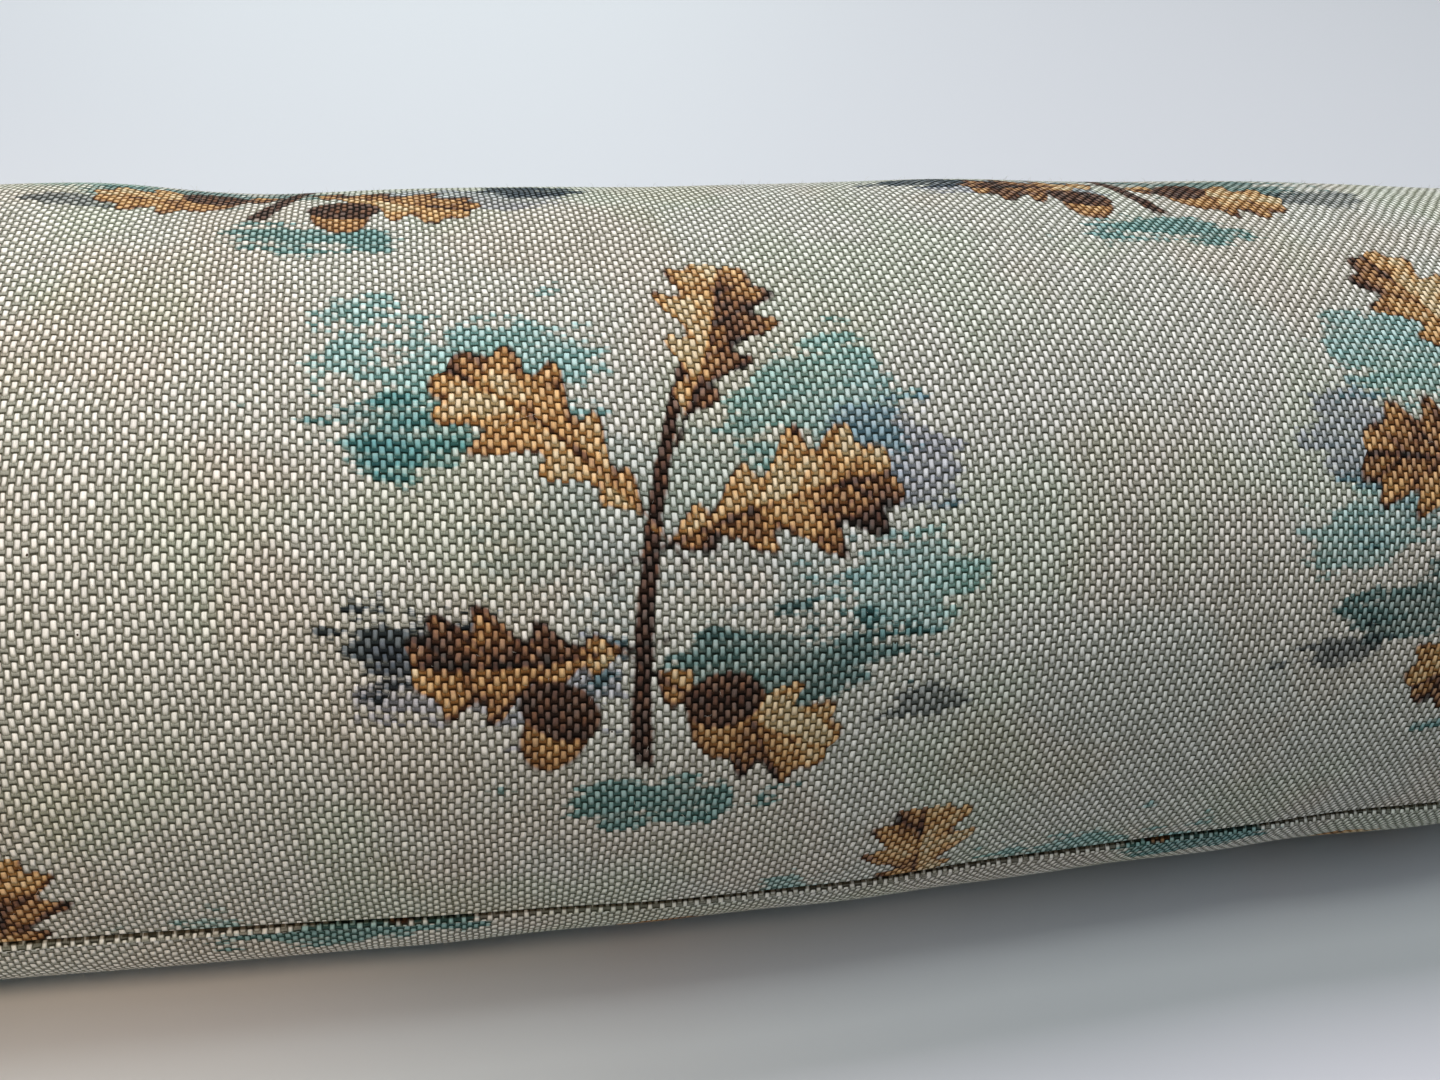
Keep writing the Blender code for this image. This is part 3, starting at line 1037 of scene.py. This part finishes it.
# %% Paths of the fibres
CLEAR_OF_END, CLEAR_OF_SEAM = 0.01, 0.02  # metres from an end seam, and a share of the girth
CLEAR_OF_FLOOR = 0.004
FIBRE_LEAN, FIBRE_BOW = 0.5, 0.4
dice = np.random.default_rng(11)


def fibre_paths(count, joints, shortest, longest, curl):
    """Paths of fibres that start in the cloth, stand off it and bend over."""
    at_along = (CUT_LENGTH / 2 - CLEAR_OF_END) * (2 * dice.random(count) - 1)
    at_round = CUT_GIRTH * (CLEAR_OF_SEAM + (1 - 2 * CLEAR_OF_SEAM) * dice.random(count))
    point, outward = on_cloth(at_along, at_round)
    standing = point[:, 2] > CLEAR_OF_FLOOR
    point, outward = point[standing], outward[standing]
    aside = unit(np.cross(outward, dice.normal(size=outward.shape)))
    twisted = np.cross(outward, aside)
    length = shortest + (longest - shortest) * dice.random((len(point), 1)) ** 2
    lean, bow = dice.normal(size=(2, len(point), 1))
    steps = []
    for t in np.linspace(0, 1, joints):
        bent = t * t
        leant = aside * (FIBRE_LEAN * lean * t + curl * bent)
        drift = outward * (t - curl * bent) + leant + twisted * FIBRE_BOW * bow * bent
        steps.append(point + length * drift)
    return np.stack(steps, axis=1)


fuzz_paths = fibre_paths(20000, 3, 0.00030, 0.0013, 0.25)
loose_paths = fibre_paths(70, 12, 0.002, 0.006, 0.7)
print("fibres", len(fuzz_paths), "short and", len(loose_paths), "long")

# %% Tubes along the paths
FIBRE_RADIUS, FIBRE_TAPER, SIDES = 0.000018, 0.6, 3
SIDEWAYS_FROM = (0.31, 0.17, 0.93)  # a direction that hardly any fibre follows


def tubes(paths, radius):
    """The points and faces of three-sided tubes along these paths, each ending in a point."""
    count, joints, _ = paths.shape
    ahead = unit(np.gradient(paths, axis=1))
    side = unit(np.cross(ahead, SIDEWAYS_FROM))
    other = np.cross(ahead, side)
    thick = radius * np.linspace(1.0, FIBRE_TAPER, joints)[None, :, None]
    turns = [math.tau * k / SIDES for k in range(SIDES)]
    rings = np.stack([paths + thick * (side * math.cos(a) + other * math.sin(a)) for a in turns], axis=2)
    rings[:, -1] = paths[:, -1, None]
    each = (joints - 1) * SIDES + 1
    points = rings.reshape(count, joints * SIDES, 3)[:, :each]
    corners = [(0, 1), (1, 2), (2, 0)]
    starts = range(0, SIDES * (joints - 2), SIDES)
    pattern = [(b + k, b + m, b + m + SIDES, b + k + SIDES) for b in starts for k, m in corners]
    pattern += [(each - 1 - SIDES + k, each - 1 - SIDES + m, each - 1) for k, m in corners]
    faces = [tuple(first + i for i in face) for first in range(0, count * each, each) for face in pattern]
    return points.reshape(-1, 3), faces


print("a tube of 3 joints has", len(tubes(fuzz_paths[:1], FIBRE_RADIUS)[1]), "faces")

# %% Fuzz and loose fibres
spun = Finish("spun_fibre")
fibre_shade = spun.noise(spun.node("ShaderNodeNewGeometry"), 900.0, dimensions="3D")
fibre_colour = spun.blend(fibre_shade, linear(160, 155, 138), linear(218, 213, 198))
spun.surface(Base_Color=fibre_colour, Roughness=0.8)

for name, paths in (("fuzz", fuzz_paths), ("loose_fibres", loose_paths)):
    points, faces = tubes(paths, FIBRE_RADIUS)
    mesh = new_mesh(name, points.tolist(), faces)
    mesh.shade_smooth()
    mesh.materials.append(spun.material)
    piece = add_object(name, mesh)
    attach(piece, "root")
    print(name, len(paths), "fibres,", len(faces), "faces")

# %% [markdown]
# ## The floor
#
# The roll lies on a smooth, pale, painted board, which isn't part of the
# object. It needs no curved backdrop, because the camera looks down and doesn't see its edge.

# %% Floor
HALF_FLOOR = 3.0
FLOOR_COLOUR = (0.63, 0.64, 0.65, 1)

corners = [(x * HALF_FLOOR, y * HALF_FLOOR, 0.0) for x, y in ((-1, -1), (1, -1), (1, 1), (-1, 1))]
board = new_mesh("floor", corners, [(0, 1, 2, 3)])
floor = add_object("floor", board)
painted = Finish("painted_board")
painted.surface(Base_Color=FLOOR_COLOUR, Roughness=0.6, Specular_IOR_Level=0.3)
board.materials.append(painted.material)
print("floor", 2 * HALF_FLOOR, "m wide")

# %% [markdown]
# ## The light
#
# The photograph has daylight from over and behind the roll, and a warmer lamp at the left. One sky alone
# would leave no shadow under the roll, and one lamp would leave its front black. So four soft boxes hang in
# an arch over the roll, the strongest behind it, and a spot with a soft edge warms the left of its front.

# %% The sky
SKY_COLOUR, SKY_STRENGTH = (0.88, 1.0, 1.12, 1), 0.09

world = bpy.data.worlds.new("room")
scene.world = world
world.use_nodes = True
sky = world.node_tree.nodes["Background"]
sky.inputs["Color"].default_value = SKY_COLOUR
sky.inputs["Strength"].default_value = SKY_STRENGTH
print("sky", SKY_STRENGTH)

# %% Lamps
BOX_AIM = (0, 0, 0.04)

# Each soft box's name, its angle over the roll, its distance, size, power and colour.
BOXES = [
    ("soft_front", 70, 1.5, 0.8, 5.1, (0.94, 1.0, 1.10)),
    ("box_above", 85, 1.5, 0.4, 5.3, (0.94, 1.0, 0.96)),
    ("box_behind", 106, 1.5, 0.4, 11.2, (1.08, 1.0, 1.12)),
    ("box_low", 158, 2.2, 1.2, 17.6, (0.79, 1.0, 0.93)),
]
WARM_AIM, WARM_COLOUR = (-0.20, -0.08, 0.02), (1.36, 1.0, 0.70)
SOFT_SPOT = {"spot_size": math.radians(20), "spot_blend": 1.0, "shadow_soft_size": 0.08}


def lamp(name, kind, aim, degrees, distance, power, colour, **settings):
    """A lamp raised by this angle in front of the point that it lights. Past 90 degrees it is behind it."""
    data = bpy.data.lights.new(name, kind)
    data.energy = power
    data.color = colour
    for setting, value in settings.items():
        setattr(data, setting, value)
    turn = math.radians(degrees)
    away = Vector((0, -math.cos(turn), math.sin(turn)))
    hung = add_object(name, data)
    hung.location = Vector(aim) + distance * away
    hung.rotation_euler = (-away).to_track_quat("-Z", "Y").to_euler()


for name, degrees, distance, size, power, colour in BOXES:
    lamp(name, "AREA", BOX_AIM, degrees, distance, power, colour, shape="SQUARE", size=size)
lamp("warm_left", "SPOT", WARM_AIM, 65, 1.2, 22.0, WARM_COLOUR, **SOFT_SPOT)
scene.view_settings.view_transform = "Standard"
print("lamps", [item.name for item in bpy.data.lights])
